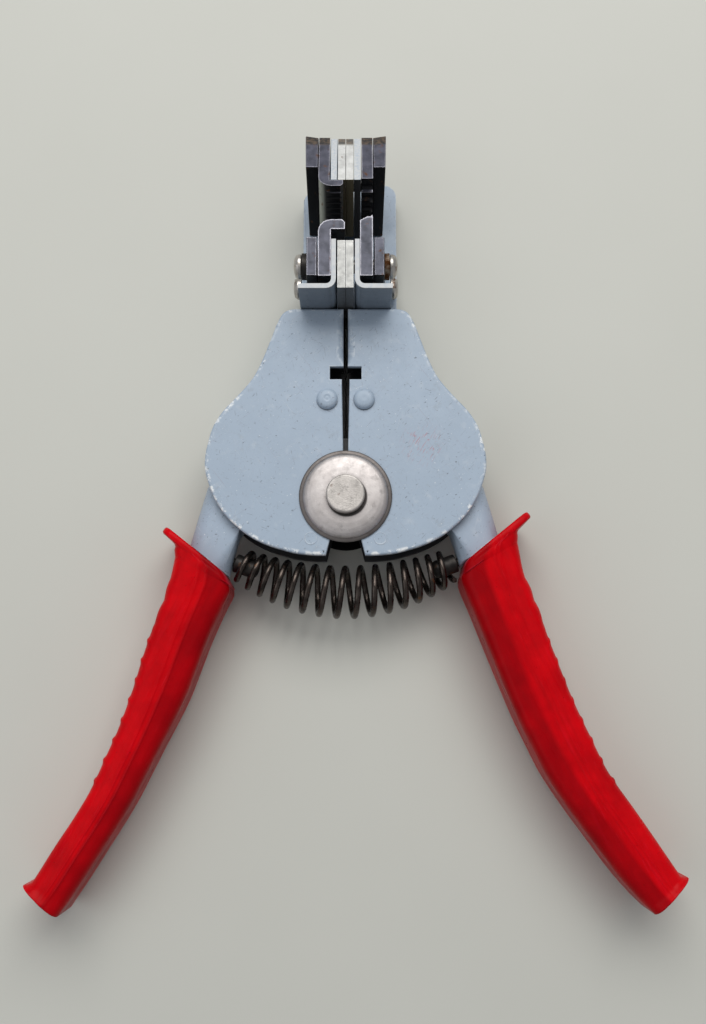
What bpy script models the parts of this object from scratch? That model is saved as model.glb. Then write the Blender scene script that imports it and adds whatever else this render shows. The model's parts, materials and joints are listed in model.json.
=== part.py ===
"""Automatic wire stripper lying on its back.

The origin is at the flat rear rivet head, +Z runs along the pivot and +Y points to the jaws.
"""

import math

import bmesh
import bpy
from mathutils import Matrix, Vector

MM = 0.001
OBJECT_NAME = "wire_stripper"
SIDES = (("left", -1), ("right", 1))

# Driving dimensions, all in millimetres.
GAP = 0.15
REAR_Z = (3.0, 5.0)
FRONT_Z = (15.0, 17.0)
WALL = 1.5
SEAM_Z = 10.0
LEAF_RADIUS = 9.8
LEAF_CLEARANCE = 10.1
PIVOT_RADIUS = 3.0
CAP_RADIUS = 10.45
RIVET_XY = (4.19, 22.4)
STOP_PIN_XY = (7.75, -9.5)
HUB_RADIUS = 8.0
LEVER_Z = (5.5, 14.5)
HUB_Z = {-1: (5.3, 8.3), 1: (11.6, 14.7)}
TANG_CORE_Z = (7.0, 13.0)
TANG_CORE_HALF = 3.0
GRIP_Z = 10.0
JAW_HINGE = (52.0, 8.0)
JAW_OPEN = math.radians(24)
SHEET = 1.05
BRACKET_X = (2.1, 10.4)
BRACKET_Y = (44.05, 55.4)
BRACKET_Z = (5.0, 30.0)
FOLD_RADIUS = 2.2
WEB_REACH = {-1: 10.4, 1: 12.2}
WEB_TOP = {-1: 78.3, 1: 79.8}
INNER_X = (0.12, 1.8)
JAW_X = (3.25, 6.05)
SIDE_PLATE_X = (6.35, 8.6)
SCREW_YZ = (51.6, 23.0)
SPRING_END = (23.7, -14.9)
SPRING_SAG = 6.0
SPRING_WIRE = 0.7
SPRING_TURNS = 15

# One body half as seen from the front, right-hand side, from the slit round the outside and back.
BODY_OUTER = (
    (11.6, 43.9), (13.2, 43.6), (14.6, 42.6), (15.9, 40.1), (16.7, 37.9), (17.7, 35.2), (18.7, 32.6),
    (19.9, 29.8), (21.2, 27.4), (22.9, 25.2), (25.2, 22.6), (27.5, 20.1), (29.0, 18.0), (30.1, 15.9),
    (31.0, 12.9), (31.65, 9.5), (31.7, 6.5), (31.1, 3.9), (30.1, 1.1), (28.8, -1.5), (26.8, -4.4),
    (24.2, -6.9), (21.9, -8.7), (19.2, -10.2), (16.5, -11.3), (13.8, -12.1), (11.6, -12.7),
    (9.2, -13.05), (6.5, -13.25), (4.4, -13.25),
)
FRONT_SLIT = ((0.55, 0.0), (0.55, 11.0), (0.87, 27.1), (3.6, 27.1), (3.6, 30.1), (0.4, 30.1), (0.4, 43.9))
REAR_SLIT = ((0.2, 0.0), (0.2, 43.9))
SLIT_FLANGES = (
    ((0.75, 17.0), (1.9, 17.0), (2.1, 26.9), (0.95, 26.9)),
    ((0.46, 30.3), (1.7, 30.3), (1.7, 43.8), (0.46, 43.8)),
)
WALL_RUN = 13

# Handle tang between the plates and the grip, right-hand side.
TANG_INNER = ((24.0, -7.4), (26.4, -17.6))
TANG_OUTER = ((31.7, 2.8), (35.1, -9.4))
GRIP_TOP = {-1: ((40.9, -5.9), (26.5, -17.6)), 1: ((41.4, -2.4), (26.3, -15.1))}
GRIP_OUTER = {
    -1: ((38.5, -10.6), (39.4, -15.5), (40.4, -20.0), (42.0, -24.8), (43.8, -29.4), (45.7, -35.3),
         (47.7, -42.4), (50.6, -51.0), (53.2, -57.2), (56.3, -64.4), (59.6, -70.3), (63.5, -76.4),
         (67.0, -82.2), (69.0, -85.4)),
    1: ((38.9, -7.5), (39.7, -12.0), (40.6, -16.7), (42.4, -21.5), (44.0, -25.7), (45.7, -30.8),
        (47.5, -35.7), (50.9, -44.8), (55.0, -53.9), (58.3, -60.8), (63.5, -68.4), (67.0, -73.6),
        (72.0, -81.2), (73.7, -83.9)),
}
GRIP_INNER = {
    -1: ((25.6, -19.4), (25.3, -21.8), (26.8, -25.0), (29.7, -31.7), (32.0, -38.0), (34.4, -44.5),
         (37.0, -50.0), (39.7, -55.3), (42.5, -61.0), (45.3, -66.6), (48.4, -71.9), (51.6, -77.0),
         (56.0, -84.0), (59.6, -89.3)),
    1: ((26.0, -16.6), (25.5, -19.7), (28.0, -26.2), (30.7, -33.2), (33.7, -40.8), (36.7, -48.2),
        (39.6, -54.4), (42.6, -60.5), (45.6, -65.3), (48.6, -69.6), (53.0, -75.6), (57.4, -81.5),
        (61.5, -86.2), (64.2, -88.8)),
}

MATERIALS = {
    "painted_sheet": ((0.37, 0.42, 0.47, 1), 0.3, 0.38),
    "nickel_cap": ((0.52, 0.44, 0.37, 1), 1.0, 0.34),
    "steel_screw": ((0.5, 0.48, 0.45, 1), 1.0, 0.35),
    "black_oxide": ((0.035, 0.036, 0.045, 1), 0.9, 0.32),
    "bright_plate": ((0.6, 0.6, 0.58, 1), 1.0, 0.26),
    "spring_wire": ((0.03, 0.024, 0.02, 1), 0.9, 0.24),
    "red_grip": ((0.58, 0.006, 0.012, 1), 0.0, 0.22),
}


def clear_scene():
    for obj in list(bpy.data.objects):
        bpy.data.objects.remove(obj, do_unlink=True)
    for mesh in list(bpy.data.meshes):
        bpy.data.meshes.remove(mesh)


def new_collection(name, hidden=False):
    made = bpy.data.collections.new(name)
    bpy.context.scene.collection.children.link(made)
    made.hide_render = hidden
    return made


def mesh_object(name, bm):
    """An object from a bmesh in millimetres, with its faces turned outwards."""
    bmesh.ops.remove_doubles(bm, verts=bm.verts, dist=1e-4)
    bmesh.ops.recalc_face_normals(bm, faces=bm.faces)
    bm.transform(Matrix.Scale(MM, 4))
    mesh = bpy.data.meshes.new(name)
    bm.to_mesh(mesh)
    bm.free()
    return bpy.data.objects.new(name, mesh)


def turned(point, turn):
    """A point (y, z) turned about the jaw hinge."""
    dy, dz = point[0] - JAW_HINGE[0], point[1] - JAW_HINGE[1]
    cosine, sine = math.cos(turn), math.sin(turn)
    return (JAW_HINGE[0] + dy * cosine - dz * sine, JAW_HINGE[1] + dy * sine + dz * cosine)


def prism(name, outline, low, high, axis="Z", side=1, turn=0.0):
    """A flat outline given thickness, then turned about the jaw hinge. For axis X the outline is (y, z)."""
    bm = bmesh.new()
    ends = []
    for level in (low, high):
        ring = []
        for u, v in outline:
            x, y, z = (u, v, level) if axis == "Z" else (level, u, v)
            y, z = turned((y, z), turn)
            ring.append(bm.verts.new((side * x, y, z)))
        ends.append(ring)
        bm.faces.new(ring)
    for i in range(len(outline)):
        j = (i + 1) % len(outline)
        bm.faces.new((ends[0][i], ends[0][j], ends[1][j], ends[1][i]))
    return mesh_object(name, bm)


def lathe(name, profile, centre=(0, 0, 0), axis=(0, 0, 1), segments=40):
    """A profile of (radius, height) turned about an axis through the centre."""
    turn = Vector((0, 0, 1)).rotation_difference(Vector(axis)).to_matrix()
    bm = bmesh.new()
    rings = []
    for radius, height in profile:
        if radius < 1e-6:
            rings.append([bm.verts.new(Vector(centre) + turn @ Vector((0, 0, height)))])
            continue
        ring = []
        for i in range(segments):
            angle = 2 * math.pi * i / segments
            local = Vector((radius * math.cos(angle), radius * math.sin(angle), height))
            ring.append(bm.verts.new(Vector(centre) + turn @ local))
        rings.append(ring)
    closed = profile[0][0] > 1e-6
    pairs = list(zip(rings, rings[1:]))
    if closed:
        pairs.append((rings[-1], rings[0]))
    for lower, upper in pairs:
        for i in range(segments):
            j = (i + 1) % segments
            corners = []
            below, above = len(lower), len(upper)
            for vert in (lower[i % below], lower[j % below], upper[j % above], upper[i % above]):
                if vert not in corners:
                    corners.append(vert)
            if len(corners) > 2:
                bm.faces.new(corners)
    return mesh_object(name, bm)


def rod(name, start, end, radius, segments=24):
    start, end = Vector(start), Vector(end)
    length = (end - start).length
    profile = ((0, 0), (radius, 0), (radius, length), (0, length))
    return lathe(name, profile, start, (end - start).normalized(), segments)


def sections(name, rings):
    """A closed body through rings of points, capped at both ends."""
    bm = bmesh.new()
    made = [[bm.verts.new(point) for point in ring] for ring in rings]
    count = len(made[0])
    for lower, upper in zip(made, made[1:]):
        for i in range(count):
            j = (i + 1) % count
            bm.faces.new((lower[i], lower[j], upper[j], upper[i]))
    bm.faces.new(made[0])
    bm.faces.new(made[-1])
    return mesh_object(name, bm)


def wire(name, path, radius, sides=6):
    """Round wire along a path, with a section carried from point to point without twist."""
    path = [Vector(point) for point in path]
    rings = []
    normal = None
    for i, point in enumerate(path):
        ahead = path[min(i + 1, len(path) - 1)]
        behind = path[max(i - 1, 0)]
        tangent = (ahead - behind).normalized()
        if normal is None:
            normal = tangent.orthogonal().normalized()
        normal = (normal - tangent * normal.dot(tangent)).normalized()
        other = tangent.cross(normal)
        ring = []
        for k in range(sides):
            angle = 2 * math.pi * k / sides
            ring.append(point + radius * (math.cos(angle) * normal + math.sin(angle) * other))
        rings.append(ring)
    return sections(name, rings)


def combine(base, others, operation):
    """Joins to the base, or cuts from it, each of the other bodies."""
    for other in others:
        other.hide_render = True
        other.display_type = "WIRE"
        CUTTERS.objects.link(other)
        modifier = base.modifiers.new(f"{operation.lower()}_{other.name}", "BOOLEAN")
        modifier.operation = operation
        modifier.solver = "EXACT"
        modifier.object = other
    return base


def finish(obj, material, pivot=(0, 0, 0)):
    """Files a node in the object's collection, with its own material and its origin on its joint."""
    pivot = Vector(pivot) * MM
    obj.data.transform(Matrix.Translation(-pivot))
    obj.location = pivot
    colour, metallic, roughness = MATERIALS[material]
    made = bpy.data.materials.new(f"{obj.name}_{material}")
    made.use_nodes = True
    shader = made.node_tree.nodes["Principled BSDF"]
    shader.inputs["Base Color"].default_value = colour
    shader.inputs["Metallic"].default_value = metallic
    shader.inputs["Roughness"].default_value = roughness
    obj.data.materials.append(made)
    PARTS.objects.link(obj)
    return obj


def meet(p, q, a, b):
    """The point where the line through p and q crosses the line through a and b."""
    r = (q[0] - p[0], q[1] - p[1])
    s = (b[0] - a[0], b[1] - a[1])
    t = ((a[0] - p[0]) * s[1] - (a[1] - p[1]) * s[0]) / (r[0] * s[1] - r[1] * s[0])
    return (p[0] + t * r[0], p[1] + t * r[1])


def offset_line(points, distance):
    """An open line of points moved sideways by a distance, to its left."""
    moved = []
    for i, point in enumerate(points):
        before, after = points[max(i - 1, 0)], points[min(i + 1, len(points) - 1)]
        dx, dy = after[0] - before[0], after[1] - before[1]
        length = math.hypot(dx, dy)
        moved.append((point[0] - distance * dy / length, point[1] + distance * dx / length))
    return moved


def grip_axis(side, steps):
    pairs = list(zip(GRIP_OUTER[side], GRIP_INNER[side]))[:steps]
    return [((o[0] + i[0]) / 2, (o[1] + i[1]) / 2) for o, i in pairs]


def make_pivot():
    rivet = lathe("pivot_rivet", (
        (0, 0), (4.6, 0), (5.0, 0.3), (5.0, 1.0), (PIVOT_RADIUS, 1.0), (PIVOT_RADIUS, 19.45),
        (4.3, 19.45), (4.3, 20.2), (3.7, 20.8), (2.4, 21.0), (0, 21.05),
    ))
    finish(rivet, "nickel_cap")
    front = lathe("front_cap", (
        (3.3, 17.1), (CAP_RADIUS, 17.1), (CAP_RADIUS, 17.75), (9.6, 18.0),
        (7.6, 18.8), (5.2, 19.3), (3.3, 19.3),
    ), segments=56)
    finish(front, "nickel_cap")
    rear = lathe("rear_cap", (
        (3.3, 1.15), (5.6, 1.15), (8.4, 1.7), (CAP_RADIUS, 2.3), (CAP_RADIUS, 2.85), (3.3, 2.85),
    ), segments=56)
    finish(rear, "nickel_cap")
    bush = lathe("hub_bush", ((3.2, 8.45), (4.6, 8.45), (4.6, 11.45), (3.2, 11.45)), segments=28)
    finish(bush, "steel_screw")
    path = []
    for i in range(45):
        angle = math.radians(128) - 2 * math.pi * 2.21 * i / 44
        path.append((6.0 * math.cos(angle), 6.0 * math.sin(angle), 8.95 + 2.0 * i / 44))
    start, end = path[0], path[-1]
    first_leg = [(-6.35, 25.5, start[2]), (-6.45, 14.0, start[2])]
    last_leg = [(6.45, 14.0, end[2]), (6.35, 25.5, end[2])]
    finish(wire("closing_spring", first_leg + path + last_leg, 0.42), "spring_wire")


def spring_point(u):
    x = SPRING_END[0] * (2 * u - 1)
    return Vector((x, SPRING_END[1] - SPRING_SAG * (1 - (x / SPRING_END[0]) ** 2), GRIP_Z))


def make_main_spring():
    """Barrel-shaped coil spring, bowed down between the two handle posts."""
    steps = SPRING_TURNS * 12
    path = []
    for i in range(steps + 1):
        t = i / steps
        u = t - 0.03 * math.sin(2 * math.pi * t)
        centre = spring_point(u)
        along = spring_point(min(u + 0.01, 1)) - spring_point(max(u - 0.01, 0))
        across = Vector((0.7 * along.y, -along.x, 0)).normalized()
        radius = 3.3 + 2.15 * math.sin(math.pi * u) ** 0.8
        angle = 2 * math.pi * SPRING_TURNS * t
        path.append(centre + radius * (math.cos(angle) * across + math.sin(angle) * Vector((0, 0, 1))))
    finish(wire("main_spring", path, SPRING_WIRE), "spring_wire")


def wall_outline():
    run = list(BODY_OUTER[1:WALL_RUN])
    return offset_line(run, -0.06) + offset_line(run, -WALL)[::-1]


def make_plates(side, word):
    """The two sheet plates of one body half, each thinned to a leaf under its cap so that the halves lap."""
    front_wall, rear_wall = (SEAM_Z + GAP, 15.4), (4.6, SEAM_Z - GAP)
    for which, (low, high), wall in (("front", FRONT_Z, front_wall), ("rear", REAR_Z, rear_wall)):
        name = f"{word}_{which}_plate"
        slit = FRONT_SLIT if which == "front" else REAR_SLIT
        plate = prism(name, BODY_OUTER + slit, low, high, side=side)
        middle = (low + high) / 2
        leaf = (low + 0.04, middle - 0.14) if side < 0 else (middle + 0.14, high - 0.04)
        away = (middle - 0.1, high + 1) if side < 0 else (low - 1, middle + 0.1)
        cut = [(0, away[0]), (LEAF_CLEARANCE, away[0]), (LEAF_CLEARANCE, away[1]), (0, away[1])]
        disc = [(0, leaf[0]), (LEAF_RADIUS, leaf[0]), (LEAF_RADIUS, leaf[1]), (0, leaf[1])]
        combine(plate, [prism(f"{name}_wall", wall_outline(), *wall, side=side)], "UNION")
        if which == "front":
            for i, strip in enumerate(SLIT_FLANGES):
                flange = prism(f"{name}_flange_{i}", strip, SEAM_Z + 0.8, 15.6, side=side)
                combine(plate, [flange], "UNION")
        combine(plate, [lathe(f"{name}_clearance", cut, segments=56)], "DIFFERENCE")
        combine(plate, [lathe(f"{name}_leaf", disc, segments=56)], "UNION")
        bores = [((0, 0), PIVOT_RADIUS + 0.2)]
        bores.append(((side * STOP_PIN_XY[0], STOP_PIN_XY[1]), 1.65))
        bores.append(((side * RIVET_XY[0], RIVET_XY[1]), 1.65))
        for i, ((x, y), radius) in enumerate(bores):
            bore = rod(f"{name}_bore_{i}", (x, y, low - 2), (x, y, high + 2), radius)
            combine(plate, [bore], "DIFFERENCE")
        finish(plate, "painted_sheet")


def make_body_pins(side, word):
    x, y = side * RIVET_XY[0], RIVET_XY[1]
    rivet = lathe(f"{word}_body_rivet", (
        (0, 3.0), (1.5, 3.0), (1.5, 17.1), (2.4, 17.1), (2.3, 17.6), (1.6, 18.15), (0.7, 18.35), (0, 18.4),
    ), (x, y, 0), segments=24)
    finish(rivet, "painted_sheet")
    x, y = side * STOP_PIN_XY[0], STOP_PIN_XY[1]
    finish(rod(f"{word}_stop_pin", (x, y, 3.02), (x, y, 17.02), 1.5), "painted_sheet")


def make_lever(side, word):
    """Handle lever: thin hub on the rivet, then a deep tang with a narrower core inside the grip."""
    top_outer, top_inner = GRIP_TOP[side]
    normal = Vector((top_inner[1] - top_outer[1], top_outer[0] - top_inner[0])).normalized()
    lift = normal * GAP
    lifted = [(p[0] + lift.x, p[1] + lift.y) for p in (top_outer, top_inner)]
    outer_end = meet(*TANG_OUTER, *lifted)
    inner_end = meet(*TANG_INNER, *lifted)
    tang = (
        (14.2, -3.7), (19.0, -4.4), (22.4, -5.6), TANG_INNER[0], inner_end, outer_end, (33.7, -4.2),
        TANG_OUTER[0], (30.2, 5.4), (27.4, 6.6), (20.5, 6.0), (14.2, 4.2),
    )
    lever = prism(f"{word}_lever", tang, *LEVER_Z, side=side)
    low, high = HUB_Z[side]
    hub = [(0, low), (HUB_RADIUS, low), (HUB_RADIUS, high), (0, high)]
    web = ((2, 7.4), (16.5, 4.6), (16.5, -4.0), (11, -3.5), (7.2, -3.4), (2, -6))
    nose = ((-3.6, 6.0), (-2.6, 12.6), (-1.4, 13.8), (1.6, 13.8), (2.8, 12.6), (4.6, 6.0))
    web_z = (max(low, LEVER_Z[0]) + 0.1, min(high, LEVER_Z[1]) - 0.1)
    combine(lever, [prism(f"{word}_lever_web", web, *web_z, side=side)], "UNION")
    combine(lever, [lathe(f"{word}_lever_hub", hub)], "UNION")
    combine(lever, [prism(f"{word}_lever_nose", nose, low + 0.2, high - 0.2, side=side)], "UNION")
    axis = grip_axis(side, 8)
    middle = (Vector(outer_end) + Vector(inner_end)) / 2 + 2 * normal
    run = [tuple(middle)] + axis[2:]
    core = offset_line(run, TANG_CORE_HALF) + offset_line(run, -TANG_CORE_HALF)[::-1]
    combine(lever, [prism(f"{word}_lever_core", core, *TANG_CORE_Z, side=side)], "UNION")
    pocket = offset_line(run, TANG_CORE_HALF + 0.3) + offset_line(run, -TANG_CORE_HALF - 0.3)[::-1]
    bore = rod(f"{word}_lever_bore", (0, 0, low - 1), (0, 0, high + 1), PIVOT_RADIUS + 0.2)
    socket = rod(f"{word}_lever_socket", post_point(side, -1.8), post_point(side, 2.0), 1.05)
    combine(lever, [bore, socket], "DIFFERENCE")
    finish(lever, "painted_sheet")
    return pocket


def post_point(side, along):
    """A point on the axis of a spring post, measured inwards from the tang's inner face."""
    foot = Vector((25.6, -14.0))
    way = Vector((-0.94, -0.34))
    point = foot + way * along
    return (side * point.x, point.y, GRIP_Z)


def make_post(side, word):
    start, end = Vector(post_point(side, -1.1)), Vector(post_point(side, 6.2))
    profile = ((0, 0), (0.9, 0), (0.9, 1.5), (2.1, 1.5), (2.1, 6.3), (1.7, 7.0), (0.8, 7.3), (0, 7.3))
    finish(lathe(f"{word}_spring_post", profile, start, (end - start).normalized(), 24), "steel_screw")


def oval(outer, inner, depth, side, count=20, power=2.6):
    """A rounded cross-section standing on the line from outer to inner, reaching depth either way along Z."""
    middle = (Vector(outer) + Vector(inner)) / 2
    half = (Vector(outer) - Vector(inner)) / 2
    ring = []
    for k in range(count):
        angle = 2 * math.pi * (k + 0.5) / count
        c, s = math.cos(angle), math.sin(angle)
        u = math.copysign(abs(c) ** (2 / power), c)
        v = math.copysign(abs(s) ** (2 / power), s)
        ring.append((side * (middle.x + u * half.x), middle.y + u * half.y, GRIP_Z + depth * v))
    return ring


def make_grip(side, word, pocket):
    """Moulded sleeve with a flange at its mouth and a rounded foot."""
    outer, inner = GRIP_TOP[side]
    down = Vector((outer[1] - inner[1], inner[0] - outer[0])).normalized()
    rings = [oval(outer, inner, 9.4, side)]
    for step, reach, depth in ((0.5, 1.0, 9.8), (1.3, 1.0, 9.8), (1.9, 0.4, 9.4)):
        shift = down * step
        edge = Vector(outer) - Vector(inner)
        edge.normalize()
        rings.append(oval(Vector(outer) + shift + edge * reach, Vector(inner) + shift, depth, side))
    count = len(GRIP_OUTER[side])
    for i, (o, n) in enumerate(zip(GRIP_OUTER[side], GRIP_INNER[side])):
        depth = 8.4 - 0.9 * math.sin(math.pi * i / (count - 1))
        rings.append(oval(o, n, depth, side))
    last_outer, last_inner = Vector(GRIP_OUTER[side][-1]), Vector(GRIP_INNER[side][-1])
    out = (last_inner - last_outer).normalized()
    end = Vector((-out.y, out.x))
    end = end if end.y < 0 else -end
    rings[-1] = oval(last_outer - out * 0.9, last_inner + out * 0.2, 9.5, side)
    rings.append(oval(last_outer - out * 0.9 + end * 1.4, last_inner + out * 0.2 + end * 1.0, 9.8, side))
    rings.append(oval(last_outer + out * 0.7 + end * 2.6, last_inner - out * 0.6 + end * 1.9, 8.8, side))
    rings.append(oval(last_outer + out * 2.6 + end * 3.2, last_inner - out * 2.2 + end * 2.4, 7.0, side))
    grip = sections(f"{word}_grip", rings)
    cut = prism(f"{word}_grip_pocket", pocket, TANG_CORE_Z[0] - 0.3, TANG_CORE_Z[1] + 0.3, side=side)
    combine(grip, [cut], "DIFFERENCE")
    finish(grip, "red_grip")


def arc(centre, radius, start, end, steps=5):
    """Points of a round stretch from one angle to another, in degrees."""
    points = []
    for i in range(steps + 1):
        angle = math.radians(start + (end - start) * i / steps)
        points.append((centre[0] + radius * math.cos(angle), centre[1] + radius * math.sin(angle)))
    return points


def make_bracket(side, word):
    """Folded sheet bracket on a body half: shelf, upright flange, ear, and a tab behind the front plate."""
    hy, hz = JAW_HINGE
    fold = (BRACKET_X[0] + FOLD_RADIUS, BRACKET_Y[0] + FOLD_RADIUS)
    sheet = [(BRACKET_X[0], BRACKET_Y[1])] + arc(fold, FOLD_RADIUS, 180, 270)
    sheet += [(BRACKET_X[1], BRACKET_Y[0]), (BRACKET_X[1], BRACKET_Y[0] + SHEET)]
    sheet += arc(fold, FOLD_RADIUS - SHEET, 270, 180) + [(BRACKET_X[0] + SHEET, BRACKET_Y[1])]
    bracket = prism(f"{word}_jaw_bracket", sheet, *BRACKET_Z, side=side)
    heel = ((hy, 4.0), (hy, 5.0), (hy + 2.9, 6.8), (hy + 3.7, 9.5), (hy + 6, 9.5), (hy + 6, 4.0))
    combine(bracket, [prism(f"{word}_bracket_heel", heel, 1.5, 4.0, "X", side)], "DIFFERENCE")
    ear = (
        (44.6, 5.1), (hy, 5.1), (hy + 2.2, 6.0), (hy + 3.0, hz),
        (hy + 2.2, 10.2), (hy - 1, 13.2), (44.6, 13.2),
    )
    combine(bracket, [prism(f"{word}_bracket_ear", ear, 9.2, 10.35, "X", side)], "UNION")
    tab = ((34.0, 13.3), (44.8, 13.3), (44.8, 14.8), (34.0, 14.8))
    combine(bracket, [prism(f"{word}_bracket_tab", tab, 5.0, 9.6, "X", side)], "UNION")
    holes = [rod(f"{word}_bracket_hinge_hole", (side * 1, hy, hz), (side * 11, hy, hz), 1.35)]
    y, z = SCREW_YZ
    holes.append(rod(f"{word}_bracket_screw_hole", (side * 1, y, z), (side * 5, y, z), 1.65))
    combine(bracket, holes, "DIFFERENCE")
    finish(bracket, "painted_sheet")


def drilled(name, outline, low, high, side, hole, radius=1.65, turn=0.0):
    """A jaw plate lying across X, with a hole at the given (y, z)."""
    plate = prism(name, outline, low, high, "X", side, turn)
    y, z = turned(hole, turn)
    cut = rod(f"{name}_hole", (side * (low - 1), y, z), (side * (high + 1), y, z), radius)
    return combine(plate, [cut], "DIFFERENCE")


def notch_cutters(name, side, edge_y, turn):
    """Round wire notches of growing size along a blade's edge."""
    cutters = []
    for i in range(6):
        radius = 0.45 + 0.16 * i
        y, z = turned((edge_y, 15.2 + 2.45 * i + 0.08 * i * i), turn)
        cutters.append(rod(f"{name}_notch_{i}", (side * 3.0, y, z), (side * 6.8, y, z), radius, 16))
    return cutters


def hook_outline(tip, inner, outer, foot, lip_in, lip_out, radius):
    """Section of a gripping jaw: a plate from inner to outer x, bent over into a lip that ends at tip x."""
    way = 1 if lip_out > foot else -1
    small = 0.2
    bend = arc((outer - radius, 0), radius, 0, 90)
    crook = arc((inner - small, 0), small, 90, 0, 3)
    points = [(tip, lip_in)]
    points += [(x, lip_in - way * (small - y)) for x, y in crook]
    points += [(inner, foot), (outer, foot)]
    points += [(x, lip_out - way * (radius - y)) for x, y in bend]
    points += [(tip + 0.6, lip_out), (tip, lip_out - way * 0.6)]
    return points


def make_lower_jaw(side, word):
    inner = ((44.2, 12.2), (54.2, 12.2), (55.2, 13.2), (55.2, 29.7), (44.2, 29.7))
    finish(drilled(f"{word}_lower_inner_plate", inner, *INNER_X, side, SCREW_YZ), "bright_plate")
    outer = ((46.9, 13.0), (54.8, 13.0), (55.8, 14.2), (55.8, 30.0), (46.9, 30.0))
    finish(drilled(f"{word}_lower_side_plate", outer, *SIDE_PLATE_X, side, SCREW_YZ), "black_oxide")
    if side < 0:
        hook = hook_outline(0.15, *JAW_X, 46.9, 57.7, 59.9, 2.8)
        jaw = prism("lower_grip_jaw", hook, 14.0, 30.0, side=side)
        teeth = []
        for i in range(10):
            z = 15.4 + 1.5 * i
            tooth = ((60.2, z - 0.4), (59.5, z), (60.2, z + 0.4))
            teeth.append(prism(f"lower_tooth_{i}", tooth, 0.0, 7.0, "X", side))
        combine(jaw, teeth, "DIFFERENCE")
    else:
        body = ((46.9, 14.0), (61.7, 14.0), (61.7, 30.0), (46.9, 30.0))
        jaw = prism("lower_blade", body, *JAW_X, "X", side)
        bevel = prism("lower_blade_bevel", ((3.0, 59.6), (3.0, 62.0), (5.9, 62.0), (5.6, 61.0)), 12.0, 32.0)
        combine(jaw, [bevel] + notch_cutters("lower_blade", side, 61.7, 0.0), "DIFFERENCE")
    y, z = SCREW_YZ
    hole = rod(f"{jaw.name}_hole", (side * 2.0, y, z), (side * 7.0, y, z), 1.65)
    combine(jaw, [hole], "DIFFERENCE")
    finish(jaw, "black_oxide")
    screw = lathe(f"{word}_jaw_screw", (
        (0, 0), (1.5, 0), (1.5, 9.1), (2.75, 9.1), (2.75, 10.1), (2.4, 11.2), (1.5, 11.8), (0, 12.0),
    ), (side * 0.25, y, z), (side, 0, 0), 24)
    finish(screw, "steel_screw")
    section = ((1.65, 0), (3.0, 0), (3.0, 0.55), (1.65, 0.55))
    ring = lathe(f"{word}_screw_washer", section, (side * 8.7, y, z), (side, 0, 0), 24)
    finish(ring, "steel_screw")
    hy, hz = JAW_HINGE
    pin = lathe(f"{word}_hinge_pin", (
        (0, 0), (1.2, 0), (1.2, 8.6), (2.6, 8.6), (2.6, 9.5), (2.1, 10.2), (1.2, 10.4), (0, 10.4),
    ), (side * 2.0, hy, hz), (side, 0, 0), 24)
    finish(pin, "steel_screw")


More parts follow.
